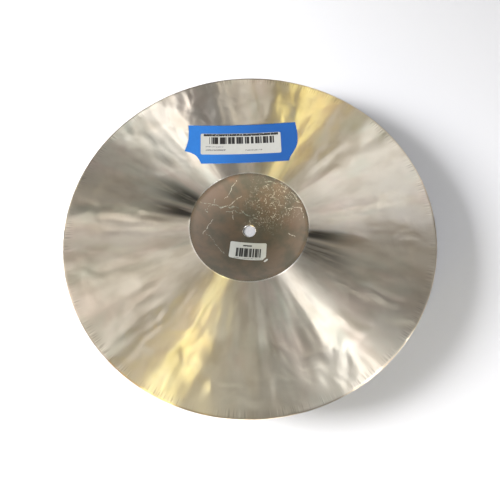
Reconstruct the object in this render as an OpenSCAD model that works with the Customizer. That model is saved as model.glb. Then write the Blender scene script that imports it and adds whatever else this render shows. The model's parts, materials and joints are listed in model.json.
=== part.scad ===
// A 14 inch crash cymbal, bell up, with a strip of tape and two paper labels on its underside.
// The origin is on the axis, on the flat under the bell where a felt washer bears.
// The cymbal's front is the side at -Y, where the tape is.

/* [Bow] */
// Diameter over the edge
cymbal_d = 355.6; // [300:0.1:460]
// Height of the bow, from the edge up to the foot of the bell, under the metal
bow_h = 18.3; // [10:0.1:26]
// Thickness at the edge
edge_t = 0.75; // [0.6:0.05:1.2]
// Size of the broken corners at the edge
edge_break = 0.15; // [0.05:0.05:0.25]

/* [Bell] */
// Diameter of the bell at its foot, under the metal
bell_d = 121.4; // [90:0.1:150]
// Height of the bell from its foot to its flat top, under the metal
bell_h = 17.6; // [12:0.1:24]
// Diameter of the flat round the centre hole
flat_d = 24; // [18:0.5:32]
// Radius of the hollow corner at the foot of the bell
neck_r = 8; // [4:0.5:14]
// Thickness of the bell, which the bow starts with and tapers from
bell_t = 1.2; // [0.9:0.05:2]
// Diameter of the centre hole
hole_d = 13.5; // [10:0.1:17]

/* [Masking tape] */
// Width of the strip
tape_w = 47; // [24:1:50]
// Length of the strip's outer long side
tape_l = 119.5; // [80:0.5:160]
// Thickness of the tape
tape_t = 0.14; // [0.1:0.01:0.3]
// Distance from the foot of the bell to the strip's inner long side
tape_gap = 12.7; // [4:0.1:20]
// How far the strip's middle lies to the left of the axis
tape_off = 4; // [0:0.5:10]

/* [Tape label] */
// Width of the label on the tape
tape_label_w = 88.9; // [50:0.1:95]
// Height of the label on the tape
tape_label_h = 25.4; // [12:0.1:28]
// Distance from the strip's outer long side to the label
tape_label_in = 10.4; // [6:0.2:14]
// How far the label's middle lies to the left of the axis
tape_label_off = 5.8; // [0:0.2:12]
// Angle of the label to the strip
tape_label_turn = 0.4; // [-2:0.1:2]
// Radius of the label's corners
tape_label_r = 1.8; // [0.5:0.1:4]

/* [Bell label] */
// Width of the label in the bell
bell_label_w = 38.1; // [24:0.1:44]
// Height of the label in the bell
bell_label_h = 20.3; // [12:0.1:22]
// Radius of the label's corners
bell_label_r = 1.8; // [0.5:0.1:4]
// Distance from the wall of the centre hole to the label
bell_label_gap = 6.7; // [4:0.1:10]
// How far the label's middle lies to the left of the axis
bell_label_off = 2.2; // [0:0.1:6]
// Angle of the label to the strip of tape
bell_label_turn = 6.4; // [-15:0.1:15]
// Length of the tear across the label's outer right corner
tear = 4.8; // [2:0.2:6]

/* [Paper] */
// Thickness of the label paper
paper_t = 0.1; // [0.06:0.01:0.2]
// Length of the scrap that tore off the label in the bell
scrap_l = 5; // [2:0.1:6]
// Width of the scrap
scrap_w = 2; // [1:0.1:3]
// Gap between the torn corner and the scrap
scrap_gap = 1.5; // [0.4:0.1:2]

/* [Hidden] */

cymbal_r = cymbal_d / 2;
bell_r = bell_d / 2;
flat_r = flat_d / 2;
hole_r = hole_d / 2;

// The underside is three arcs in a row, each swept by the angle a that its normal makes with the axis:
// the bell's dome, the hollow corner at its foot, and the bow, whose centre is on the axis.

// The bow's radius, from its two ends.
chord = cymbal_r - bell_r;
chord_len = sqrt(chord * chord + bow_h * bow_h);
chord_a = atan(bow_h / chord);
half_a = atan(chord_len * sin(chord_a) / (cymbal_r + bell_r));
bow_r = chord_len / 2 / sin(half_a);
foot_a = chord_a - half_a;
edge_a = chord_a + half_a;
bow_z = -bell_h - bow_r * cos(foot_a);

// The dome's radius, so that the corner's arc runs on from it and ends at the foot.
run = bell_r - flat_r + neck_r * sin(foot_a);
drop = bell_h + neck_r * (1 - cos(foot_a));
dome_r = (run * run + drop * drop) / (2 * drop) - neck_r;
shoulder_a = atan2(run, dome_r + neck_r - drop);

edge_z = bow_z + bow_r * cos(edge_a);

dome_steps = 16;
neck_steps = 6;
bow_steps = 40;

// Place on an arc, where a negative radius is a hollow arc.
function on_arc(middle, radius, a) = middle + radius * [sin(a), cos(a)];
// Values from first to last in equal steps.
function sweep(first, last, steps) = [for (i = [0 : steps]) first + (last - first) * i / steps];

// The three stretches of the surface at a height over the underside, from the flat to the edge.
dome_middle = [flat_r, -dome_r];
neck_middle = on_arc(dome_middle, dome_r + neck_r, shoulder_a);
function dome(over) = [for (a = sweep(0, shoulder_a, dome_steps)) on_arc(dome_middle, dome_r + over, a)];
function neck(over) = [for (a = sweep(shoulder_a, foot_a, neck_steps)) on_arc(neck_middle, over - neck_r, a)];
function bow(over, over_edge) =
    [for (i = [0 : bow_steps])
        let (part = i / bow_steps, a = foot_a + (edge_a - foot_a) * part)
        on_arc([0, bow_z], bow_r + over + (over_edge - over) * part, a)];

function reversed(list) = [for (i = [len(list) - 1 : -1 : 0]) list[i]];
// All but the first point, where a stretch starts at the point that the one before it ended at.
function rest(list) = [for (i = [1 : len(list) - 1]) list[i]];
function but_last(list) = [for (i = [0 : len(list) - 2]) list[i]];
function side(over, over_edge) = concat(dome(over), rest(neck(over)), rest(bow(over, over_edge)));

// A skin of even thickness on the dome or the bow, revolved, from one height under the metal to another.
module dome_skin(top, bottom) {
    rotate_extrude($fn = 180)
        polygon(concat([[hole_r, -top]], dome(-top), reversed(dome(-bottom)), [[hole_r, -bottom]]));
}
module bow_skin(top, bottom) {
    rotate_extrude($fn = 180) polygon(concat(bow(-top, -top), reversed(bow(-bottom, -bottom))));
}

// Upright prism through the whole height of the cymbal, on an outline seen from above.
module through(outline) {
    translate([0, 0, edge_z - bell_t]) linear_extrude(height = -edge_z + 2 * bell_t) polygon(outline);
}

// Corner of a label, an arc of the given radius.
corner_steps = 4;
function corner(x, y, r, from) =
    [for (a = sweep(from, from + 90, corner_steps)) [x + r * cos(a), y + r * sin(a)]];
// A label as seen from above, whose first corner may be cut off straight instead.
function label(w, h, r, cut = 0) = concat(
    cut > 0 ? [[w / 2, h / 2 - cut], [w / 2 - cut, h / 2]] : corner(w / 2 - r, h / 2 - r, r, 0),
    corner(r - w / 2, h / 2 - r, r, 90),
    corner(r - w / 2, r - h / 2, r, 180),
    corner(w / 2 - r, r - h / 2, r, 270));
// The points turned about the origin, then moved.
function placed(points, turn, to) =
    [for (p = points) [p[0] * cos(turn) - p[1] * sin(turn), p[0] * sin(turn) + p[1] * cos(turn)] + to];

// Each torn end of the tape: how far in from the outer corner, and the share of the width across.
left_tear = [[0, 0], [0.3, 0.38], [-3.8, 0.68], [3.6, 0.72], [9, 0.8], [12, 0.9], [14, 1]];
right_tear = [[0, 0], [-1.2, 0.2], [-1.6, 0.4], [-0.6, 0.57], [2.4, 0.72], [8, 0.9], [9.8, 1]];
// Slope of the bow under the middle of the tape, which shortens the strip as seen from above.
tape_slope = asin((bell_r + tape_gap + tape_w / 2) / bow_r);
tape_reach = tape_w * cos(tape_slope);
tape_y = bell_r + tape_gap + tape_reach;
tape_outline = concat(
    [for (p = left_tear) [-tape_off - tape_l / 2 + p[0], -tape_y + p[1] * tape_reach]],
    [for (p = reversed(right_tear)) [-tape_off + tape_l / 2 - p[0], -tape_y + p[1] * tape_reach]]);

tape_label_at = [-tape_label_off, -tape_y + tape_label_in + tape_label_h / 2];
tape_label_outline = placed(label(tape_label_w, tape_label_h, tape_label_r), tape_label_turn, tape_label_at);

// The label in the bell has its right corner towards the edge torn off along a straight line.
tear_cut = tear / sqrt(2);
bell_label_at = [-bell_label_off, hole_r + bell_label_gap + bell_label_h / 2];
bell_label_outline = placed(
    label(bell_label_w, bell_label_h, bell_label_r, tear_cut), bell_label_turn, bell_label_at);

// The scrap lies just past the tear and along it.
scrap_shape = [[-1, -0.6], [-0.4, -1], [1, -0.8], [0.9, 0.6], [0.2, 1], [-0.8, 0.7]];
scrap_points = [for (p = scrap_shape) [p[0] * scrap_l / 2, p[1] * scrap_w / 2]];
scrap_off = (scrap_gap + scrap_w / 2) / sqrt(2) - tear_cut / 2;
scrap_at = [bell_label_w / 2 + scrap_off, bell_label_h / 2 + scrap_off];
scrap_outline = placed(placed(scrap_points, -45, scrap_at), bell_label_turn, bell_label_at);

// The bronze in one piece: flat, bell, corner and bow, with both sides of the edge broken.
module cymbal() {
    edge_top = edge_z + edge_t * cos(edge_a);
    broken_r = cymbal_r - edge_break;
    broken_rise = edge_break * tan(edge_a);
    profile = concat(
        [[hole_r, 0]], but_last(side(0, 0)),
        [[broken_r, edge_z + broken_rise], [cymbal_r, edge_z + edge_break]],
        [[cymbal_r, edge_top - edge_break], [broken_r, edge_top + broken_rise]],
        reversed(but_last(side(bell_t, edge_t))), [[hole_r, bell_t]]);
    color([0.72, 0.66, 0.55]) rotate_extrude($fn = 180) polygon(profile);
}

// Blue tape pressed onto the bow, torn at both ends.
module masking_tape() {
    color([0.16, 0.45, 0.82]) intersection() {
        bow_skin(0, tape_t);
        through(tape_outline);
    }
}

module tape_label() {
    color([0.93, 0.93, 0.9]) intersection() {
        bow_skin(tape_t, tape_t + paper_t);
        through(tape_label_outline);
    }
}

module bell_label() {
    color([0.93, 0.93, 0.9]) intersection() {
        dome_skin(0, paper_t);
        through(bell_label_outline);
    }
}

module label_scrap() {
    color([0.93, 0.93, 0.9]) intersection() {
        dome_skin(0, paper_t);
        through(scrap_outline);
    }
}

cymbal();
masking_tape();
tape_label();
bell_label();
label_scrap();
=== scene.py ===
import json
import math

import bpy
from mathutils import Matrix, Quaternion, Vector


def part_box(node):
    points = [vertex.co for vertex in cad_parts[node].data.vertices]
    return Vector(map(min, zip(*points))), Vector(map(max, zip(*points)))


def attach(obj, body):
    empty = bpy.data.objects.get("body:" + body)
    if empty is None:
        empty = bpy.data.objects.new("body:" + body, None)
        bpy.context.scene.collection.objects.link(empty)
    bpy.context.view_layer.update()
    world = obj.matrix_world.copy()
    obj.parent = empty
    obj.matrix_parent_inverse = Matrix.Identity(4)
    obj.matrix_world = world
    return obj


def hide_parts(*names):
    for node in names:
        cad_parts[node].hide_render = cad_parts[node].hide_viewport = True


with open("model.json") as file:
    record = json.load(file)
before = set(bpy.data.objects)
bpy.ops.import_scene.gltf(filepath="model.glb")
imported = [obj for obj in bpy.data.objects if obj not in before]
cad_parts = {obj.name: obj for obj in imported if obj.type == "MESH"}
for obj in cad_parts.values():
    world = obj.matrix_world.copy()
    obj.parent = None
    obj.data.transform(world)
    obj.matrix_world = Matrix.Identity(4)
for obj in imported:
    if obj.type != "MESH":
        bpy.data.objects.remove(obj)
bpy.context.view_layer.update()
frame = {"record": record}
mm = 0.001
cymbalLow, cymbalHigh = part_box("cymbal")
edgeRadius = cymbalHigh.x
edgeLevel = cymbalLow.z
holeRadius = frame["record"]["mounts"][0]["dims"]["r_mm"] * mm
print("frame loaded, cymbal", round(edgeRadius * 2 / mm, 1), "mm across")


# the camera is under the cymbal, close up, and looks into the bell

cameraLook = {
    "lens": 24.48,
    "away": 331 * mm,  # from the middle of the edge's circle
    "tilt": 27.17,  # from the cymbal's axis
    "aim": 35.8 * mm,  # how far behind the middle of the edge's circle it looks
    "roll": 177.9,
}


def addCamera():
    tilt = math.radians(cameraLook["tilt"])
    camera = bpy.data.cameras.new("camera")
    camera.lens = cameraLook["lens"]
    camera.clip_start = 10 * mm
    holder = bpy.data.objects.new("camera", camera)
    bpy.context.scene.collection.objects.link(holder)
    away = cameraLook["away"]
    holder.location = (0, away * math.sin(tilt), edgeLevel - away * math.cos(tilt))
    aim = Vector((0, cameraLook["aim"], edgeLevel)) - holder.location
    holder.rotation_mode = "QUATERNION"
    turn = Quaternion((0, 0, 1), math.radians(cameraLook["roll"]))
    holder.rotation_quaternion = aim.to_track_quat("-Z", "Y") @ turn
    bpy.context.scene.camera = holder
    bpy.context.scene.view_settings.view_transform = "Standard"


addCamera()
print("camera placed")


# helpers for modelling

def steps(first, last, count):
    return [first + (last - first) * i / count for i in range(count + 1)]


def selectOnly(piece):
    bpy.ops.object.select_all(action="DESELECT")
    piece.select_set(True)
    bpy.context.view_layer.objects.active = piece


def drawLine(name, points):
    # one vertex, pulled from point to point as a chain of edges
    bpy.ops.object.select_all(action="DESELECT")
    bpy.ops.mesh.primitive_plane_add(size=mm)
    piece = bpy.context.object
    piece.name = name
    bpy.ops.object.mode_set(mode="EDIT")
    bpy.ops.mesh.select_all(action="SELECT")
    bpy.ops.mesh.merge(type="CENTER")
    bpy.ops.transform.translate(value=points[0])
    for start, end in zip(points, points[1:]):
        step = tuple(b - a for a, b in zip(start, end))
        bpy.ops.mesh.extrude_region_move(TRANSFORM_OT_translate={"value": step})
    return piece


def addModifier(piece, kind, **settings):
    modifier = piece.modifiers.new(kind.lower(), kind)
    for name, value in settings.items():
        setattr(modifier, name, value)
    return modifier


def cloudTexture(name, size, depth):
    texture = bpy.data.textures.new(name, "CLOUDS")
    texture.noise_scale = size
    texture.noise_depth = depth
    return texture


def applyModifiers(piece):
    selectOnly(piece)
    for modifier in list(piece.modifiers):
        bpy.ops.object.modifier_apply(modifier=modifier.name)


def finishPiece(piece, node):
    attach(piece, "root")
    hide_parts(node)
    print(piece.name, "made,", len(piece.data.polygons), "faces")


# helpers for materials

def setInputs(tree, node, inputs):
    for name, value in inputs.items():
        if isinstance(value, bpy.types.NodeSocket):
            tree.links.new(value, node.inputs[name])
        else:
            node.inputs[name].default_value = value


def addNode(tree, kind, inputs=None, **settings):
    node = tree.nodes.new("ShaderNode" + kind)
    for name, value in settings.items():
        setattr(node, name, value)
    setInputs(tree, node, inputs or {})
    return node


def calc(tree, operation, *values, clamp=False):
    numbers = dict(enumerate(values))
    return addNode(tree, "Math", numbers, operation=operation, use_clamp=clamp).outputs[0]


def ramp(tree, value, start, end, low=0.0, high=1.0):
    # low below start and high above end, with a smooth step between them
    inputs = {"Value": value, "From Min": start, "From Max": end, "To Min": low, "To Max": high}
    return addNode(tree, "MapRange", inputs, interpolation_type="SMOOTHSTEP").outputs[0]


def blend(tree, amount, first, second, mode="MIX"):
    node = addNode(tree, "Mix", data_type="RGBA", blend_type=mode)
    setInputs(tree, node, {0: amount, 6: first, 7: second})
    return node.outputs[2]


def bump(tree, height, distance, under=None):
    inputs = {"Height": height, "Distance": distance}
    if under is not None:
        inputs["Normal"] = under
    return addNode(tree, "Bump", inputs).outputs[0]


def newMaterial(name):
    material = bpy.data.materials.new(name)
    material.use_nodes = True
    tree = material.node_tree
    return material, tree, tree.nodes["Principled BSDF"]


def newGroup(name, inputs, outputs):
    tree = bpy.data.node_groups.new(name, "ShaderNodeTree")
    for direction, sockets in (("INPUT", inputs), ("OUTPUT", outputs)):
        for socket, value in sockets.items():
            made = tree.interface.new_socket(socket, in_out=direction, socket_type="NodeSocketFloat")
            made.default_value = value
    given = tree.nodes.new("NodeGroupInput").outputs
    result = tree.nodes.new("NodeGroupOutput").inputs
    return tree, given, result


def useGroup(tree, group, **inputs):
    node = tree.nodes.new("ShaderNodeGroup")
    node.node_tree = group
    setInputs(tree, node, {name.replace("_", " "): value for name, value in inputs.items()})
    return node.outputs


def makeRingsGroup():
    # how far a point is from the axis, and the fine grooves that a lathe tool leaves round it
    tree, given, result = newGroup("lathe_rings", {"Pitch": 0.8}, {"Radius": 0.0, "Groove": 0.0})
    place = addNode(tree, "TexCoord").outputs["Object"]
    split = addNode(tree, "SeparateXYZ", {0: place}).outputs
    x2 = calc(tree, "MULTIPLY", split[0], split[0])
    y2 = calc(tree, "MULTIPLY", split[1], split[1])
    radius = calc(tree, "SQRT", calc(tree, "ADD", x2, y2))
    turns = calc(tree, "DIVIDE", calc(tree, "DIVIDE", radius, mm), given["Pitch"])
    noise = addNode(tree, "TexNoise", {"W": turns, "Scale": 1.0, "Detail": 3.0}, noise_dimensions="1D")
    tree.links.new(radius, result["Radius"])
    tree.links.new(noise.outputs[0], result["Groove"])
    return tree


def makeRaysGroup():
    # noise drawn out from the axis: Around sets how many rays there are, Outward how short they are
    tree, given, result = newGroup(
        "rays", {"Around": 8.0, "Outward": 10.0, "Detail": 2.0, "Seed": 0.0}, {"Mask": 0.0})
    place = addNode(tree, "TexCoord").outputs["Object"]
    split = addNode(tree, "SeparateXYZ", {0: place}).outputs
    flat = addNode(tree, "CombineXYZ", {0: split[0], 1: split[1], 2: 0.0}).outputs[0]
    radius = addNode(tree, "VectorMath", {0: flat}, operation="LENGTH").outputs["Value"]
    unit = addNode(tree, "VectorMath", {0: flat}, operation="NORMALIZE").outputs[0]
    wide = addNode(tree, "VectorMath", {0: unit, "Scale": given["Around"]}, operation="SCALE").outputs[0]
    wideSplit = addNode(tree, "SeparateXYZ", {0: wide}).outputs
    depth = calc(tree, "ADD", calc(tree, "MULTIPLY", radius, given["Outward"]), given["Seed"])
    spot = addNode(tree, "CombineXYZ", {0: wideSplit[0], 1: wideSplit[1], 2: depth}).outputs[0]
    noise = addNode(tree, "TexNoise", {"Vector": spot, "Scale": 1.0, "Detail": given["Detail"]})
    tree.links.new(noise.outputs[0], result["Mask"])
    return tree


def makeFansGroup():
    # a pair of opposite fans about the axis, strongest along the middle line, which shapes the painted dark
    # reflections
    tree, given, result = newGroup("fans", {"Azimuth": 0.0, "Spread": 0.2}, {"Mask": 0.0})
    place = addNode(tree, "TexCoord").outputs["Object"]
    split = addNode(tree, "SeparateXYZ", {0: place}).outputs
    angle = calc(tree, "ARCTAN2", split[1], split[0])
    off = calc(tree, "ABSOLUTE", calc(tree, "SINE", calc(tree, "SUBTRACT", angle, given["Azimuth"])))
    near = calc(tree, "SUBTRACT", 1.0, calc(tree, "DIVIDE", off, given["Spread"]), clamp=True)
    tree.links.new(ramp(tree, near, 0.0, 0.8), result["Mask"])
    return tree


def makeScratchGroup():
    # one wobbly scratch from a point to another, in millimetres, worn away in places
    inputs = {"X1": 0.0, "Y1": 0.0, "X2": 1.0, "Y2": 1.0, "Width": 0.5, "Wobble": 1.5, "Seed": 0.0}
    tree, given, result = newGroup("scratch", inputs, {"Mask": 0.0})
    place = addNode(tree, "TexCoord").outputs["Object"]
    spot = addNode(tree, "VectorMath", {0: place, "Scale": 1 / mm}, operation="SCALE").outputs[0]
    seeded = addNode(tree, "VectorMath", {0: spot, 1: given["Seed"]}, operation="ADD").outputs[0]
    noise = addNode(tree, "TexNoise", {"Vector": seeded, "Scale": 0.14, "Detail": 1.5})
    drift = noise.outputs["Color"]
    centred = addNode(tree, "VectorMath", {0: drift, 1: (0.5, 0.5, 0.5)}, operation="SUBTRACT")
    push = addNode(tree, "VectorMath", {0: centred.outputs[0], "Scale": given["Wobble"]}, operation="SCALE")
    moved = addNode(tree, "VectorMath", {0: spot, 1: push.outputs[0]}, operation="ADD").outputs[0]
    moved = addNode(tree, "VectorMath", {0: moved, 1: (1, 1, 0)}, operation="MULTIPLY").outputs[0]
    start = addNode(tree, "CombineXYZ", {0: given["X1"], 1: given["Y1"], 2: 0.0}).outputs[0]
    end = addNode(tree, "CombineXYZ", {0: given["X2"], 1: given["Y2"], 2: 0.0}).outputs[0]
    line = addNode(tree, "VectorMath", {0: end, 1: start}, operation="SUBTRACT").outputs[0]
    fromStart = addNode(tree, "VectorMath", {0: moved, 1: start}, operation="SUBTRACT").outputs[0]
    along = addNode(tree, "VectorMath", {0: fromStart, 1: line}, operation="DOT_PRODUCT").outputs["Value"]
    full = addNode(tree, "VectorMath", {0: line, 1: line}, operation="DOT_PRODUCT").outputs["Value"]
    share = calc(tree, "DIVIDE", along, full, clamp=True)
    foot = addNode(tree, "VectorMath", {0: line, "Scale": share}, operation="SCALE").outputs[0]
    off = addNode(tree, "VectorMath", {0: fromStart, 1: foot}, operation="DISTANCE").outputs["Value"]
    near = calc(tree, "SUBTRACT", 1.0, calc(tree, "DIVIDE", off, given["Width"]), clamp=True)
    wear = addNode(tree, "TexNoise", {"Vector": seeded, "Scale": 0.45, "Detail": 2.0}).outputs[0]
    mask = calc(tree, "MULTIPLY", ramp(tree, near, 0.0, 0.6), ramp(tree, wear, 0.38, 0.52))
    tree.links.new(mask, result["Mask"])
    return tree


latheRings = makeRingsGroup()
rays = makeRaysGroup()
fans = makeFansGroup()
scratch = makeScratchGroup()


def rayMask(tree, around, outward, detail, seed):
    return useGroup(tree, rays, Around=around, Outward=outward, Detail=detail, Seed=seed)["Mask"]


def noiseAt(tree, scale, detail=2.0, rough=0.5, seed=0.0):
    place = addNode(tree, "TexCoord").outputs["Object"]
    shift = (seed, seed * 0.7, seed * 0.3)
    moved = addNode(tree, "Mapping", {"Vector": place, "Location": shift}).outputs[0]
    inputs = {"Vector": moved, "Scale": scale, "Detail": detail, "Roughness": rough}
    return addNode(tree, "TexNoise", inputs).outputs[0]


def times(tree, *masks):
    product = masks[0]
    for mask in masks[1:]:
        product = calc(tree, "MULTIPLY", product, mask)
    return product


# the bronze: one casting, hammered and lathed, with a raw bell

bronzeLook = {
    "bellRadius": 60.7 * mm,
    "bellHeight": 17.6 * mm,
    "flatRadius": 12 * mm,
    "neckRadius": 8 * mm,
    "bellWall": 1.2 * mm,
    "edgeWall": 0.75 * mm,
    "chamfer": 0.35 * mm,  # round the hole
    "edgeBulge": 0.6,  # of half the wall at the edge
    "turns": 400,
    "bowSteps": 52,
    # hammer marks, which grow from one radius to the next and fade out at the edge
    "hammerFrom": 64.7 * mm,
    "hammerFull": 110 * mm,
    "hammerFade": 8 * mm,
    "blowSize": 26 * mm,
    "blowDepth": 0.26 * mm,
    "waveSize": 38 * mm,
    "waveDepth": 0.3 * mm,
    # the lathe stopped at the raw radius and left a ridge that ends past it
    "rawRadius": 60.9 * mm,
    "ridgeFull": 0.5 * mm,
    "ridgeEnd": 1.1 * mm,
    "groovePitch": 0.7,  # in millimetres
    # painted dark reflections in fans at the foot of the bell: where they end, and the direction in degrees
    # and the spread of each pair of fans
    "darkReflectionFull": 68 * mm,
    "darkReflectionEnd": 122 * mm,
    "darkReflectionFans": [(13, 0.12), (27, 0.19)],
    # ticks, measured in from the edge
    "tickStart": 9 * mm,
    "tickFull": 3 * mm,
    "tickFade": 1.5 * mm,
    "tickEnd": 0.7 * mm,
    "rimStart": 1.3 * mm,
    "rimFull": 0.5 * mm,
    # heights of what is bump
    "lightDepth": 1.4 * mm,
    "streakDepth": 2.0 * mm,
    "grooveDepth": 0.01 * mm,
    "tickDepth": 0.02 * mm,
    "ridgeDepth": 0.14 * mm,
    "rawDepth": 0.12 * mm,
    "scratchDepth": 0.04 * mm,
    # the patch of scribbles in the bell
    "patchMiddle": (26 * mm, -29 * mm),
    "patchFull": 30 * mm,
    "patchEnd": 54 * mm,
    "patchRagged": 34 * mm,
    "scratchShare": 0.85,  # of each width, as the rest is worn off
    "colour": (0.8, 0.735, 0.62, 1),
    "dullColour": (0.64, 0.57, 0.46, 1),
    "pinkColour": (0.84, 0.68, 0.58, 1),
    "greenColour": (0.66, 0.69, 0.57, 1),
    "darkReflectionColour": (0.1, 0.095, 0.085, 1),
    "rimColour": (0.42, 0.32, 0.2, 1),
    "ridgeHighlightColour": (1, 0.96, 0.88, 1),
    "tickColour": (0.3, 0.24, 0.16, 1),
    "glintColour": (0.98, 0.93, 0.82, 1),
    "rawColour": (0.105, 0.076, 0.052, 1),
    "rawDark": (0.07, 0.063, 0.047, 1),
    "rawWarm": (0.2, 0.1, 0.055, 1),
    "rawPink": (0.12, 0.075, 0.055, 1),
    "scratchColour": (0.45, 0.435, 0.38, 1),
    "paleScratch": (0.28, 0.32, 0.28, 1),
}
# scratches in the bell, in millimetres as seen from above: from, to, width, wobble
bellScratches = [
    (-12, -54, -25, -36, 0.5, 4), (-30, -25, -7, -39, 0.45, 5), (-17, -22, -17, -14, 0.6, 4),
    (-38, -13, -48, 5, 0.5, 5), (41, -22, 54, -17, 0.7, 8),
    (54, -17, 57, -7, 0.7, 8), (46, -35, 55, -21, 0.6, 6), (41, 7, 47, 13, 0.9, 3), (1, -12, 2, -8, 0.7, 3),
]
paleScratches = [
    (-51, -29, -12, -27, 0.7, 10), (-25, -21, -5, -24, 0.8, 9), (-36, -34, -44, -20, 0.5, 8),
    (-45, 3, -27, 26, 0.5, 6), (-8, -24, 12, -14, 0.8, 9), (20, -52, 40, -44, 0.7, 8),
]


def arcPoint(middle, radius, angle):
    return (middle[0] + radius * math.sin(angle), middle[1] + radius * math.cos(angle))


def bronzeSide(wallInBell, wallAtEdge):
    # the dome, the hollow corner at its foot and the bow, as points from the flat to the edge
    bell, foot, neck = bronzeLook["bellRadius"], -bronzeLook["bellHeight"], bronzeLook["neckRadius"]
    chordAngle = math.atan2(foot - edgeLevel, edgeRadius - bell)
    chord = math.hypot(edgeRadius - bell, foot - edgeLevel)
    halfAngle = math.atan(chord * math.sin(chordAngle) / (edgeRadius + bell))
    bowRadius = chord / 2 / math.sin(halfAngle)
    footAngle, edgeAngle = chordAngle - halfAngle, chordAngle + halfAngle
    run = bell - bronzeLook["flatRadius"] + neck * math.sin(footAngle)
    drop = -foot + neck * (1 - math.cos(footAngle))
    domeRadius = (run * run + drop * drop) / (2 * drop) - neck
    shoulder = math.atan2(run, domeRadius + neck - drop)
    domeMiddle = (bronzeLook["flatRadius"], -domeRadius)
    neckMiddle = arcPoint(domeMiddle, domeRadius + neck, shoulder)
    bowMiddle = (0, foot - bowRadius * math.cos(footAngle))
    count = bronzeLook["bowSteps"]
    points = [arcPoint(domeMiddle, domeRadius + wallInBell, a) for a in steps(0, shoulder, 20)]
    points += [arcPoint(neckMiddle, wallInBell - neck, a) for a in steps(shoulder, footAngle, 10)[1:]]
    for i, angle in enumerate(steps(footAngle, edgeAngle, count)[1:]):
        wall = wallInBell + (wallAtEdge - wallInBell) * (i + 1) / count
        points.append(arcPoint(bowMiddle, bowRadius + wall, angle))
    return points


def edgeRound(low, high):
    # the worn edge, which bulges a little in section
    half, bulge = (high - low) / 2, bronzeLook["edgeBulge"]
    return [(edgeRadius - half * (1 - math.cos(a)) * bulge, low + half + half * math.sin(a))
            for a in steps(-math.pi / 2, math.pi / 2, 6)]


def hammer(piece):
    # the blows fade out towards the bell and the edge
    group = piece.vertex_groups.new(name="hammered")
    inner, full, fade = bronzeLook["hammerFrom"], bronzeLook["hammerFull"], bronzeLook["hammerFade"]
    for vertex in piece.data.vertices:
        radius = math.hypot(vertex.co.x, vertex.co.y)
        rise = min(max((radius - inner) / (full - inner), 0), 1)
        fall = min(max((edgeRadius - radius) / fade, 0), 1)
        if rise * fall > 0:
            group.add([vertex.index], rise * fall, "REPLACE")
    blows = bpy.data.textures.new("hammer_blows", "VORONOI")
    blows.noise_scale = bronzeLook["blowSize"]
    waves = cloudTexture("hammer_waves", bronzeLook["waveSize"], 1)
    for texture, depth in ((blows, bronzeLook["blowDepth"]), (waves, bronzeLook["waveDepth"])):
        addModifier(piece, "DISPLACE", texture=texture, texture_coords="LOCAL", direction="Z",
                    strength=depth, mid_level=0.5, vertex_group="hammered")
    applyModifiers(piece)


def makeCymbal():
    under = bronzeSide(0, 0)
    over = bronzeSide(bronzeLook["bellWall"], bronzeLook["edgeWall"])
    edge = edgeRound(under[-1][1], over[-1][1])
    chamfer, wall = bronzeLook["chamfer"], bronzeLook["bellWall"]
    hole = [(holeRadius + chamfer, wall), (holeRadius, wall - chamfer), (holeRadius, chamfer),
            (holeRadius + chamfer, 0)]
    profile = under[:-1] + edge + over[-2::-1] + hole
    profile.append(profile[0])
    piece = drawLine("bronze_cymbal", [(radius, 0, height) for radius, height in profile])
    bpy.ops.mesh.select_all(action="SELECT")
    bpy.ops.mesh.spin(steps=bronzeLook["turns"], angle=2 * math.pi, center=(0, 0, 0), axis=(0, 0, 1))
    bpy.ops.mesh.select_all(action="SELECT")
    bpy.ops.mesh.remove_doubles(threshold=0.005 * mm)
    bpy.ops.mesh.normals_make_consistent(inside=False)
    bpy.ops.mesh.faces_shade_smooth()
    bpy.ops.object.mode_set(mode="OBJECT")
    hammer(piece)
    return piece


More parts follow.
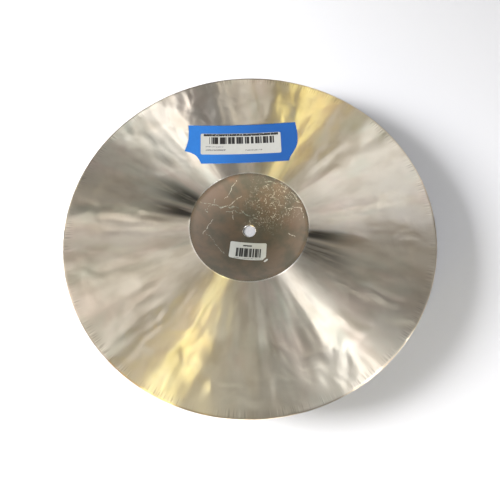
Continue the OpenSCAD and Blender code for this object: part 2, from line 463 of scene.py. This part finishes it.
def bowBronze(name, seed, darkReflectionDepth):
    material, tree, shader = newMaterial(name)
    rings = useGroup(tree, latheRings, Pitch=bronzeLook["groovePitch"])
    radius, groove = rings["Radius"], rings["Groove"]
    fine = rayMask(tree, 110.0, 40.0, 1.0, 9.0)
    # cloudy tarnish and faint tints, drawn out a little from the bell
    clouds = rayMask(tree, 6.0, 30.0, 2.5, 3.0 + seed)
    cloudy = ramp(tree, clouds, 0.4, 0.68)
    colour = blend(tree, cloudy, bronzeLook["colour"], bronzeLook["dullColour"])
    pink = rayMask(tree, 3.0, 12.0, 3.0, 21.0 + seed)
    colour = blend(tree, ramp(tree, pink, 0.5, 0.7, 0.0, 0.45), colour, bronzeLook["pinkColour"])
    green = rayMask(tree, 4.0, 15.0, 3.0, 33.0 + seed)
    colour = blend(tree, ramp(tree, green, 0.52, 0.7, 0.0, 0.4), colour, bronzeLook["greenColour"])
    # a narrow ridge where the lathe began to cut, in bump, with a painted highlight along it
    ridge, ridgeEnd = [bronzeLook["rawRadius"] + bronzeLook[name] for name in ("ridgeFull", "ridgeEnd")]
    cut = ramp(tree, radius, ridge, ridgeEnd, 1.0, 0.0)
    paintedRidgeHighlight = times(tree, cut, ramp(tree, fine, 0.4, 0.5, 0.5, 0.9))
    colour = blend(tree, paintedRidgeHighlight, colour, bronzeLook["ridgeHighlightColour"])
    # painted dark reflections, in fans at the foot of the bell
    darkReflectionBreakup = rayMask(tree, 14.0, 22.0, 3.0, 45.0)
    narrow, wide = [useGroup(tree, fans, Azimuth=math.radians(azimuth), Spread=spread)["Mask"]
                    for azimuth, spread in bronzeLook["darkReflectionFans"]]
    paintedDarkReflection = times(tree, calc(tree, "MAXIMUM", narrow, wide),
                  ramp(tree, radius, bronzeLook["darkReflectionFull"], bronzeLook["darkReflectionEnd"], 1.0, 0.0),
                  ramp(tree, darkReflectionBreakup, 0.32, 0.52, 0.45, 1.0), darkReflectionDepth)
    colour = blend(tree, paintedDarkReflection, colour, bronzeLook["darkReflectionColour"])
    # ticks near the edge, where the tool skipped, with painted glints beside them
    patches = rayMask(tree, 5.0, 5.0, 2.0, 5.0 + seed)
    start, full, fade, end = [edgeRadius - bronzeLook[name]
                              for name in ("tickStart", "tickFull", "tickFade", "tickEnd")]
    zone = times(tree, ramp(tree, radius, start, full), ramp(tree, radius, fade, end, 1.0, 0.0),
                 ramp(tree, patches, 0.42, 0.56, 0.15, 1.0))
    ticks = times(tree, zone, ramp(tree, fine, 0.55, 0.62))
    glints = times(tree, zone, ramp(tree, fine, 0.4, 0.34))
    colour = blend(tree, times(tree, ticks, 0.36), colour, bronzeLook["tickColour"])
    colour = blend(tree, times(tree, glints, 0.5), colour, bronzeLook["glintColour"])
    # darker along the very edge
    start, full = edgeRadius - bronzeLook["rimStart"], edgeRadius - bronzeLook["rimFull"]
    rim = ramp(tree, radius, start, full, 0.0, 0.7)
    colour = blend(tree, rim, colour, bronzeLook["rimColour"])
    # heavy blows are in the mesh; light ones, streaks and the grooves are bump
    place = addNode(tree, "TexCoord").outputs["Object"]
    light = addNode(tree, "TexNoise", {"Vector": place, "Scale": 42.0, "Detail": 1.6, "Roughness": 0.4,
                                       "Distortion": 0.5}).outputs[0]
    streaks = rayMask(tree, 7.0, 20.0, 1.0, 12.0 + seed)
    grown = ramp(tree, radius, 60 * mm, 125 * mm, 0.12, 1.0)
    normal = bump(tree, times(tree, light, grown), bronzeLook["lightDepth"])
    normal = bump(tree, times(tree, streaks, grown), bronzeLook["streakDepth"], normal)
    normal = bump(tree, groove, bronzeLook["grooveDepth"], normal)
    normal = bump(tree, ticks, bronzeLook["tickDepth"], normal)
    normal = bump(tree, cut, bronzeLook["ridgeDepth"], normal)
    # rougher outwards and where it is cloudy
    worn = calc(tree, "ADD", ramp(tree, radius, 58 * mm, 110 * mm, 0.32, 0.38), times(tree, cloudy, 0.04))
    around = addNode(tree, "Tangent", direction_type="RADIAL", axis="Z").outputs[0]
    setInputs(tree, shader, {
        "Base Color": colour, "Metallic": 1.0, "Roughness": worn, "Anisotropic": 1.0,
        "Anisotropic Rotation": 0.25, "Normal": normal, "Tangent": around})
    return material


def scratchMask(tree, scratches):
    total = None
    for i, (x1, y1, x2, y2, width, wobble) in enumerate(scratches):
        worn = width * bronzeLook["scratchShare"]
        one = useGroup(tree, scratch, X1=x1, Y1=y1, X2=x2, Y2=y2, Width=worn, Wobble=wobble, Seed=i * 7.3)
        total = one["Mask"] if total is None else calc(tree, "MAXIMUM", total, one["Mask"])
    return total


def bellBronze(name, seed, rubbed):
    material, tree, shader = newMaterial(name)
    blotches = noiseAt(tree, 38.0, 5.0, 0.6, 1.3 + seed)
    warm = noiseAt(tree, 24.0, 3.0, 0.55, 4.1 + seed)
    rosy = noiseAt(tree, 30.0, 3.0, 0.55, 7.7 + seed)
    colour = blend(tree, ramp(tree, blotches, 0.38, 0.62), bronzeLook["rawColour"], bronzeLook["rawDark"])
    colour = blend(tree, ramp(tree, rosy, 0.5, 0.7, 0.0, 0.35), colour, bronzeLook["rawPink"])
    colour = blend(tree, ramp(tree, warm, 0.6, 0.76, 0.0, 0.7), colour, bronzeLook["rawWarm"])
    normal = bump(tree, noiseAt(tree, 260.0, 4.0, 0.6, 2.0), bronzeLook["rawDepth"])
    if rubbed:
        colour, normal = rubMarks(tree, colour, normal)
    rough = ramp(tree, blotches, 0.3, 0.7, 0.6, 0.75)
    setInputs(tree, shader, {
        "Base Color": colour, "Metallic": 0.25, "Roughness": rough, "Normal": normal})
    return material


def rubMarks(tree, colour, normal):
    # a patch of scribbles and specks where something rubbed, and single scratches
    x, y = bronzeLook["patchMiddle"]
    place = addNode(tree, "TexCoord").outputs["Object"]
    inputs = {"Vector": place, "Location": (-x, -y, 0), "Scale": (1, 1, 0)}
    shifted = addNode(tree, "Mapping", inputs).outputs[0]
    off = addNode(tree, "VectorMath", {0: shifted}, operation="LENGTH").outputs["Value"]
    uneven = times(tree, noiseAt(tree, 60.0, 3.0, 0.5, 6.0), bronzeLook["patchRagged"])
    ragged = calc(tree, "ADD", off, uneven)
    patch = ramp(tree, ragged, bronzeLook["patchFull"], bronzeLook["patchEnd"], 1.0, 0.0)
    curls = calc(tree, "ABSOLUTE", calc(tree, "SUBTRACT", noiseAt(tree, 210.0, 3.0, 0.6, 3.0), 0.5))
    gaps = noiseAt(tree, 170.0, 3.0, 0.6, 8.0)
    scribble = times(tree, patch, ramp(tree, curls, 0.002, 0.026, 1.0, 0.0), ramp(tree, gaps, 0.46, 0.56))
    flecks = times(tree, patch, ramp(tree, noiseAt(tree, 560.0, 1.0, 0.5, 2.0), 0.65, 0.7))
    single = times(tree, scratchMask(tree, bellScratches), 0.8)
    marks = calc(tree, "MAXIMUM", calc(tree, "MAXIMUM", scribble, flecks), single)
    pale = scratchMask(tree, paleScratches)
    colour = blend(tree, times(tree, pale, 0.5), colour, bronzeLook["paleScratch"])
    colour = blend(tree, times(tree, marks, 0.66), colour, bronzeLook["scratchColour"])
    return colour, bump(tree, marks, bronzeLook["scratchDepth"], normal)


cymbal = makeCymbal()
# the material slots are the bow and then the bell, each from below and then from above
# the last number for each bow is the strength of its painted dark reflections
for bronze in (bowBronze("bow_underside", 0.0, 0.95), bowBronze("bow_top", 50.0, 0.25),
               bellBronze("bell_underside", 0.0, True), bellBronze("bell_top", 2.6, False)):
    cymbal.data.materials.append(bronze)
for face in cymbal.data.polygons:
    away = math.hypot(face.center.x, face.center.y)
    raw = holeRadius + bronzeLook["chamfer"] < away < bronzeLook["rawRadius"]
    face.material_index = (2 if raw else 0) + (1 if face.normal.z > 0 else 0)
finishPiece(cymbal, "cymbal")


# the tape and the labels are cut flat, sliced into a grid, pressed up onto what they stick to and thickened

stickGap = 0.01 * mm
startBelow = 5 * mm  # under the edge, where each sheet is cut


def cutSheet(name, outline, grid):
    # the sheet faces down, away from what it is pressed onto
    piece = drawLine(name, [(x, y, edgeLevel - startBelow) for x, y in outline])
    bpy.ops.mesh.select_all(action="SELECT")
    bpy.ops.mesh.edge_face_add()
    corners = [min(p[0] for p in outline), min(p[1] for p in outline),
               max(p[0] for p in outline), max(p[1] for p in outline)]
    for axis in (0, 1):
        cut = corners[axis] + grid
        while cut < corners[axis + 2]:
            bpy.ops.mesh.select_all(action="SELECT")
            middle, across = [0, 0, 0], [0, 0, 0]
            middle[axis], across[axis] = cut, 1
            bpy.ops.mesh.bisect(plane_co=middle, plane_no=across)
            cut += grid
    bpy.ops.mesh.select_all(action="SELECT")
    bpy.ops.mesh.normals_make_consistent(inside=False)
    bpy.ops.object.mode_set(mode="OBJECT")
    if piece.data.polygons[0].normal.z > 0:
        piece.data.flip_normals()
    return piece


def pressOn(piece, target, thickness, ripple=None, rippleDepth=0.0):
    addModifier(piece, "SHRINKWRAP", target=target, offset=stickGap, wrap_method="PROJECT",
                wrap_mode="ABOVE_SURFACE", use_project_z=True, use_positive_direction=True,
                use_negative_direction=False)
    if ripple is not None:
        addModifier(piece, "DISPLACE", texture=ripple, texture_coords="LOCAL", direction="NORMAL",
                    strength=rippleDepth, mid_level=0.2)
    addModifier(piece, "SOLIDIFY", thickness=thickness, offset=1)
    applyModifiers(piece)
    bpy.ops.object.shade_smooth_by_angle(angle=math.radians(40))


def cornerArc(x, y, radius, start):
    return [(x + radius * math.cos(a), y + radius * math.sin(a))
            for a in steps(math.radians(start), math.radians(start + 90), 5)]


def labelOutline(width, height, radius, cut=0.0):
    # round corners, and the first corner cut off straight if asked
    x, y = width / 2, height / 2
    first = [(x, y - cut), (x - cut, y)] if cut > 0 else cornerArc(x - radius, y - radius, radius, 0)
    return (first + cornerArc(radius - x, y - radius, radius, 90)
            + cornerArc(radius - x, radius - y, radius, 180)
            + cornerArc(x - radius, radius - y, radius, 270))


def refine(points, step):
    # more points along the straight sides
    fuller = []
    for (x1, y1), (x2, y2) in zip(points, points[1:] + points[:1]):
        count = max(1, int(math.hypot(x2 - x1, y2 - y1) / step))
        fuller += [(x1 + (x2 - x1) * i / count, y1 + (y2 - y1) * i / count) for i in range(count)]
    return fuller


def placeOutline(points, turn, to):
    c, s = math.cos(math.radians(turn)), math.sin(math.radians(turn))
    return [(x * c - y * s + to[0], x * s + y * c + to[1]) for x, y in points]


tapeLook = {
    "thickness": 0.14 * mm,
    "grid": 2.5 * mm,
    "rippleSize": 14 * mm,
    "rippleDepth": 0.12 * mm,
    "crepeDepth": 0.03 * mm,
    "outer": -120.0 * mm,
    "inner": -73.4 * mm,
    "left": -63.75 * mm,
    "right": 55.75 * mm,
    # each torn end: how far in from the outer corner, and the share of the width across
    "leftTear": [(0, 0), (0.4, 0.16), (0.1, 0.38), (-1.6, 0.53), (-3.8, 0.68), (-0.2, 0.7), (3.6, 0.73),
                 (6.6, 0.76), (9, 0.81), (12, 0.9), (14, 1)],
    "rightTear": [(0, 0), (-0.8, 0.1), (-1.4, 0.22), (-1.7, 0.4), (-0.8, 0.57), (0.6, 0.65), (2.6, 0.73),
                  (5.4, 0.82), (8, 0.9), (9.8, 1)],
    "colour": (0.005, 0.064, 0.27, 1),
    "paleColour": (0.015, 0.128, 0.455, 1),
    "crepeColour": (0.01, 0.075, 0.33, 1),
}


def makeTape():
    outer = tapeLook["outer"]
    reach = tapeLook["inner"] - outer
    left = [(tapeLook["left"] + x * mm, outer + share * reach) for x, share in tapeLook["leftTear"]]
    right = [(tapeLook["right"] - x * mm, outer + share * reach) for x, share in tapeLook["rightTear"]]
    piece = cutSheet("masking_tape_strip", left + right[::-1], tapeLook["grid"])
    ripple = cloudTexture("tape_ripple", tapeLook["rippleSize"], 2)
    pressOn(piece, cymbal, tapeLook["thickness"], ripple, tapeLook["rippleDepth"])
    return piece


def tapePaper():
    material, tree, shader = newMaterial("blue_tape")
    # the crepe's folds run across the strip, and the strip is paler at its left end
    place = addNode(tree, "TexCoord").outputs["Object"]
    drawn = addNode(tree, "Mapping", {"Vector": place, "Scale": (1, 0.12, 1)}).outputs[0]
    crepe = addNode(tree, "TexNoise", {"Vector": drawn, "Scale": 1400.0, "Detail": 2.0}).outputs[0]
    soft = noiseAt(tree, 30.0, 3.0, 0.5, 0.6)
    side = addNode(tree, "SeparateXYZ", {0: place}).outputs[0]
    paleTowardsLeft = calc(tree, "ADD", ramp(tree, side, -62 * mm, 40 * mm, 0.8, 0.0), times(tree, soft, 0.4))
    colour = blend(tree, ramp(tree, paleTowardsLeft, 0.1, 1.1), tapeLook["colour"], tapeLook["paleColour"])
    colour = blend(tree, ramp(tree, crepe, 0.4, 0.7, 0.0, 0.25), colour, tapeLook["crepeColour"])
    normal = bump(tree, crepe, tapeLook["crepeDepth"])
    setInputs(tree, shader, {"Base Color": colour, "Roughness": 0.5, "Normal": normal})
    return material


tape = makeTape()
tape.data.materials.append(tapePaper())
finishPiece(tape, "masking_tape")


paperLook = {
    "thickness": 0.1 * mm,
    "grid": 2.5 * mm,
    "corner": 1.8 * mm,
    "grainDepth": 0.01 * mm,
    "colour": (0.48, 0.495, 0.485, 1),
    "shadeColour": (0.42, 0.435, 0.425, 1),
    "ink": (0.012, 0.012, 0.014, 1),
    "greyInk": (0.14, 0.14, 0.15, 1),
}


def makePrintGroup():
    # a block of printing: strokes about Stroke millimetres apart, where Cover is how much of it is inked
    # and Break cuts the strokes up along their length
    edgeSharpness, strokeSharpness = 8.0, 14.0
    inputs = {"U": 0.0, "V": 0.0, "Middle U": 0.0, "Middle V": 0.0, "Width": 10.0, "Height": 5.0,
              "Stroke": 1.0, "Cover": 0.5, "Break": 0.0, "Seed": 0.0}
    tree, given, result = newGroup("print_block", inputs, {"Ink": 0.0})
    masks = []
    for side, middle, size in (("U", "Middle U", "Width"), ("V", "Middle V", "Height")):
        off = calc(tree, "ABSOLUTE", calc(tree, "SUBTRACT", given[side], given[middle]))
        inside = calc(tree, "SUBTRACT", calc(tree, "MULTIPLY", given[size], 0.5), off)
        masks.append(calc(tree, "MULTIPLY", inside, edgeSharpness, clamp=True))
    along = calc(tree, "ADD", calc(tree, "DIVIDE", given["U"], given["Stroke"]), given["Seed"])
    across = calc(tree, "MULTIPLY", given["V"], given["Break"])
    spot = addNode(tree, "CombineXYZ", {0: along, 1: across, 2: 0.0}).outputs[0]
    noise = addNode(tree, "TexNoise", {"Vector": spot, "Scale": 1.0, "Detail": 1.0}, noise_dimensions="2D")
    above = calc(tree, "SUBTRACT", calc(tree, "ADD", noise.outputs[0], given["Cover"]), 1.0)
    strokes = calc(tree, "MULTIPLY", above, strokeSharpness, clamp=True)
    tree.links.new(times(tree, masks[0], masks[1], strokes), result["Ink"])
    return tree


printBlock = makePrintGroup()


def labelPaper(name, middle, turn, blocks, paintedShade):
    # blocks are dictionaries of the print group's inputs, in millimetres from the label's middle
    material, tree, shader = newMaterial(name)
    place = addNode(tree, "TexCoord").outputs["Object"]
    shifted = addNode(tree, "VectorMath", {0: place, 1: (*middle, 0)}, operation="SUBTRACT").outputs[0]
    turned = addNode(tree, "VectorRotate", {"Vector": shifted, "Angle": -math.radians(turn)},
                     rotation_type="Z_AXIS").outputs[0]
    split = addNode(tree, "SeparateXYZ", {0: turned}).outputs
    u = calc(tree, "DIVIDE", split[0], mm)
    v = calc(tree, "DIVIDE", split[1], -mm)
    grain = noiseAt(tree, 320.0, 3.0, 0.5, 1.0)
    darker = ramp(tree, grain, 0.3, 0.7, 0.0, 0.35)
    colour = blend(tree, darker, paperLook["colour"], paperLook["shadeColour"])
    for block in blocks:
        inputs = dict(block)
        tone = paperLook["greyInk"] if inputs.pop("grey", False) else paperLook["ink"]
        ink = useGroup(tree, printBlock, U=u, V=v, **inputs)["Ink"]
        colour = blend(tree, ink, colour, tone)
    normal = bump(tree, grain, paperLook["grainDepth"])
    # painted shade: the paper's colour times the label's own shade colour
    colour = blend(tree, 1.0, colour, paintedShade, "MULTIPLY")
    setInputs(tree, shader, {"Base Color": colour, "Roughness": 0.5, "Normal": normal})
    return material


# the tape's label has painted shade: its paper is made darker and bluer than the paper of the others,
# standing in for less and cooler light on it
tapeLabelLook = {
    "width": 88.9 * mm,
    "height": 25.4 * mm,
    "middle": (-5.8 * mm, -96.9 * mm),
    "turn": 0.4,
    "paintedShade": (0.74, 0.75, 0.8, 1),
}
tapeLabelPrint = [
    {"Middle_U": 0.3, "Middle_V": 10.9, "Width": 83, "Height": 2.9, "Stroke": 1.3, "Cover": 0.7,
     "Break": 0.6},
    {"Middle_U": 1.0, "Middle_V": 4.2, "Width": 72, "Height": 8.6, "Stroke": 2.3, "Cover": 0.59,
     "Seed": 7.0},
    {"Middle_U": -29, "Middle_V": -3.4, "Width": 20, "Height": 1.6, "Stroke": 0.9, "Cover": 0.52,
     "Break": 0.9, "Seed": 20.0, "grey": True},
    {"Middle_U": -28, "Middle_V": -7.4, "Width": 22, "Height": 1.7, "Stroke": 0.9, "Cover": 0.6,
     "Break": 0.9, "Seed": 31.0, "grey": True},
    {"Middle_U": 14, "Middle_V": -8.0, "Width": 19, "Height": 1.6, "Stroke": 0.9, "Cover": 0.52,
     "Break": 0.9, "Seed": 43.0, "grey": True},
]

bellLabelLook = {
    "width": 38.1 * mm,
    "height": 20.3 * mm,
    "middle": (-2.2 * mm, 23.8 * mm),
    "turn": 6.4,
    "cut": 3.4 * mm,  # off each side of the torn corner
    "curve": 70 * mm,
    "paintedShade": (1, 1, 1, 1),
}
bellLabelPrint = [
    {"Middle_U": 0.5, "Middle_V": -1.6, "Width": 26, "Height": 10.6, "Stroke": 1.25, "Cover": 0.6,
     "Seed": 8.0},
    {"Middle_U": -1.0, "Middle_V": 6.6, "Width": 9.5, "Height": 1.7, "Stroke": 0.8, "Cover": 0.72,
     "Break": 1.0, "Seed": 12.0},
    {"Middle_U": 0.5, "Middle_V": -8.4, "Width": 29, "Height": 0.9, "Stroke": 0.9, "Cover": 0.62,
     "Break": 0.9, "Seed": 25.0, "grey": True},
]

# the scrap's outline is in halves of its length and width
scrapLook = {
    "shape": [(-1, -0.6), (-0.4, -1), (1, -0.8), (0.9, 0.6), (0.2, 1), (-0.8, 0.7)],
    "length": 5 * mm,
    "width": 2 * mm,
    "gap": 1.5 * mm,
    "grid": 1 * mm,
}


def makeLabel(name, look, target, blocks):
    outline = labelOutline(look["width"], look["height"], paperLook["corner"], look.get("cut", 0.0))
    outline = placeOutline(refine(outline, paperLook["grid"]), look["turn"], look["middle"])
    if "curve" in look:
        # flat paper on a dome: its long sides curve round the axis
        outline = [(x, y * (1 - x * x / 2 / look["curve"] ** 2)) for x, y in outline]
    piece = cutSheet(name, outline, paperLook["grid"])
    pressOn(piece, target, paperLook["thickness"])
    piece.data.materials.append(
        labelPaper(name + "_paper", look["middle"], look["turn"], blocks, look["paintedShade"]))
    return piece


def makeScrap():
    cut, look = bellLabelLook["cut"], scrapLook
    off = (look["gap"] + look["width"] / 2) / math.sqrt(2) - cut / 2
    corner = (bellLabelLook["width"] / 2 + off, bellLabelLook["height"] / 2 + off)
    shape = [(x * look["length"] / 2, y * look["width"] / 2) for x, y in look["shape"]]
    outline = placeOutline(placeOutline(shape, -45, corner), bellLabelLook["turn"], bellLabelLook["middle"])
    piece = cutSheet("torn_scrap", outline, look["grid"])
    pressOn(piece, cymbal, paperLook["thickness"])
    piece.data.materials.append(labelPaper("scrap_paper", (0, 0), 0, [], bellLabelLook["paintedShade"]))
    return piece


tapeLabel = makeLabel("long_label", tapeLabelLook, tape, tapeLabelPrint)
finishPiece(tapeLabel, "tape_label")

bellLabel = makeLabel("small_label", bellLabelLook, cymbal, bellLabelPrint)
finishPiece(bellLabel, "bell_label")

scrap = makeScrap()
finishPiece(scrap, "label_scrap")


# the stage: a table above the bell for the view from below, and a floor under the edge for the others

stageLook = {
    "size": 8,
    "gap": 0.1 * mm,  # from the cymbal to each plane
    "shadeInner": 8 * mm,
    "shadeOuter": 10 * mm,
    "paintedShade": 0.55,
    "floorColour": (0.3, 0.3, 0.3, 1),
    "floorGlow": 0.6,
    "tableColour": (0.1, 0.1, 0.104, 1),
    "tableGlow": 0.165,
    "roomLight": 0.12,
    "roomSeen": 0.6,
}


def oneSided(name, colour, glow, fromBelow):
    # only the camera sees it, and only from one side
    material = bpy.data.materials.new(name)
    material.use_nodes = True
    tree = material.node_tree
    tree.nodes.clear()
    ray = addNode(tree, "LightPath").outputs["Is Camera Ray"]
    side = addNode(tree, "NewGeometry").outputs["Backfacing"]
    if not fromBelow:
        side = calc(tree, "SUBTRACT", 1.0, side)
    # a little darker on the axis, where the bell keeps the light off
    place = addNode(tree, "TexCoord").outputs["Object"]
    away = addNode(tree, "VectorMath", {0: place}, operation="LENGTH").outputs["Value"]
    lit = ramp(tree, away, stageLook["shadeInner"], stageLook["shadeOuter"], stageLook["paintedShade"], 1.0)
    tone = blend(tree, lit, (0, 0, 0, 1), colour)
    matt = addNode(tree, "BsdfDiffuse", {"Color": tone}).outputs[0]
    shine = addNode(tree, "Emission", {"Strength": calc(tree, "MULTIPLY", lit, glow)}).outputs[0]
    paper = addNode(tree, "AddShader", {0: matt, 1: shine}).outputs[0]
    clear = addNode(tree, "BsdfTransparent").outputs[0]
    seen = addNode(tree, "MixShader", {0: calc(tree, "MULTIPLY", ray, side), 1: clear, 2: paper}).outputs[0]
    addNode(tree, "OutputMaterial", {"Surface": seen})
    return material


def addPlane(name, level, material):
    bpy.ops.object.select_all(action="DESELECT")
    bpy.ops.mesh.primitive_plane_add(size=stageLook["size"], location=(0, 0, level))
    plane = bpy.context.object
    plane.name = name
    plane.data.materials.append(material)
    return plane


def addLamp(name, azimuth, elevation, away, size, power, colour):
    # azimuth runs from +X towards +Y, and a negative elevation is below the cymbal
    turn, lift = math.radians(azimuth), math.radians(elevation)
    toward = Vector((math.cos(turn) * math.cos(lift), math.sin(turn) * math.cos(lift), math.sin(lift)))
    data = bpy.data.lights.new(name, "AREA")
    data.shape = "RECTANGLE"
    data.size, data.size_y = size
    data.energy = power
    data.color = colour
    lamp = bpy.data.objects.new(name, data)
    bpy.context.scene.collection.objects.link(lamp)
    lamp.location = toward * away
    lamp.rotation_mode = "QUATERNION"
    lamp.rotation_quaternion = (-toward).to_track_quat("-Z", "Y")
    lamp.visible_camera = False
    return lamp


def litBy(lamp, plane, state):
    # the lamp lights only this plane, or everything but it
    group = bpy.data.collections.new(lamp.name + "_lights")
    group.objects.link(plane)
    group.collection_objects[0].light_linking.link_state = state
    lamp.light_linking.receiver_collection = group


def addWorld():
    # the room is pale to look at and gives little light
    world = bpy.data.worlds.new("world")
    world.use_nodes = True
    tree = world.node_tree
    ray = addNode(tree, "LightPath").outputs["Is Camera Ray"]
    strength = ramp(tree, ray, 0.0, 1.0, stageLook["roomLight"], stageLook["roomSeen"])
    setInputs(tree, tree.nodes["Background"], {"Color": (1, 1, 1, 1), "Strength": strength})
    bpy.context.scene.world = world


floorPaper = oneSided("floor_paper", stageLook["floorColour"], stageLook["floorGlow"], False)
floor = addPlane("floor", edgeLevel - stageLook["gap"], floorPaper)
tablePaper = oneSided("table_paper", stageLook["tableColour"], stageLook["tableGlow"], True)
table = addPlane("table", cymbalHigh.z + stageLook["gap"], tablePaper)
addWorld()

# the windows, walls and lights of the room, named as seen from the camera's side, which is +Y:
# name, azimuth, elevation, distance, size, power and colour
lamps = [
    ("window_right", 26, -7, 1.0, (0.26, 0.2), 7.8, (0.91, 0.98, 1)),
    ("window_right_low", 42, -17, 1.0, (0.26, 0.2), 11.3, (1, 0.98, 1)),
    ("window_right_near", 42, -42, 1.0, (0.12, 0.2), 1.9, (0.9, 0.94, 1)),
    ("wall_right", 11, -17, 1.0, (0.7, 0.2), 3.2, (0.92, 0.94, 1)),
    ("window_front", 90, -7, 1.0, (0.4, 0.2), 14.8, (1, 0.97, 0.94)),
    ("warm_bulb", 127, -17, 1.0, (0.08, 0.2), 2.9, (1, 0.96, 0.3)),
    ("bulb_core", 129, -40, 1.0, (0.05, 0.3), 1.0, (1, 0.98, 0.4)),
    ("bulb_low", 138, -56, 1.0, (0.03, 0.12), 0.45, (1, 0.98, 0.78)),
    ("amber_shade", 132, -17, 1.0, (0.5, 0.2), 4.8, (1, 0.6, 0.03)),
    ("warm_wall", 120, -43, 1.0, (0.6, 0.3), 1.3, (1, 0.84, 0.47)),
    ("window_left", 192, -7, 1.0, (0.9, 0.2), 15, (0.71, 0.78, 1)),
    ("wall_left", 191, -17, 1.0, (0.75, 0.2), 5.4, (1, 0.97, 0.92)),
    ("corner_left", 220, -17, 1.0, (0.6, 0.2), 2.1, (1, 0.88, 0.68)),
    ("wall_left_low", 172, -43, 1.0, (0.5, 0.3), 2.5, (1, 0.95, 0.95)),
    ("wall_back", 266, -7, 1.0, (0.75, 0.2), 7.6, (1, 1, 0.94)),
    ("shelf_back", 330, -7, 1.0, (0.13, 0.2), 3.5, (1, 0.92, 1)),
    ("fill_back", 308, -29, 1.0, (0.9, 0.3), 2.1, (1, 1, 0.83)),
    ("fill_low", 38, -62, 1.0, (0.6, 0.4), 0.7, (0.86, 0.88, 1)),
    ("top_key", 130, 50, 1.4, (0.9, 0.6), 8.5, (1, 0.98, 0.95)),
    ("top_fill", 330, 40, 1.4, (0.9, 0.6), 4.5, (0.95, 0.97, 1)),
    ("top_side", 222, 30, 1.4, (0.6, 0.5), 3, (1, 0.93, 0.8)),
]
for lamp in lamps:
    litBy(addLamp(*lamp), floor, "EXCLUDE")
# each of these lights one plane only, and gives it the cymbal's shadow
litBy(addLamp("table_lamp", 180, -28, 1.4, (0.5, 0.5), 350, (1, 1, 1)), table, "INCLUDE")
litBy(addLamp("floor_lamp", 130, 60, 1.4, (0.7, 0.7), 22, (1, 1, 1)), floor, "INCLUDE")
print("stage and", len(lamps), "lamps set")
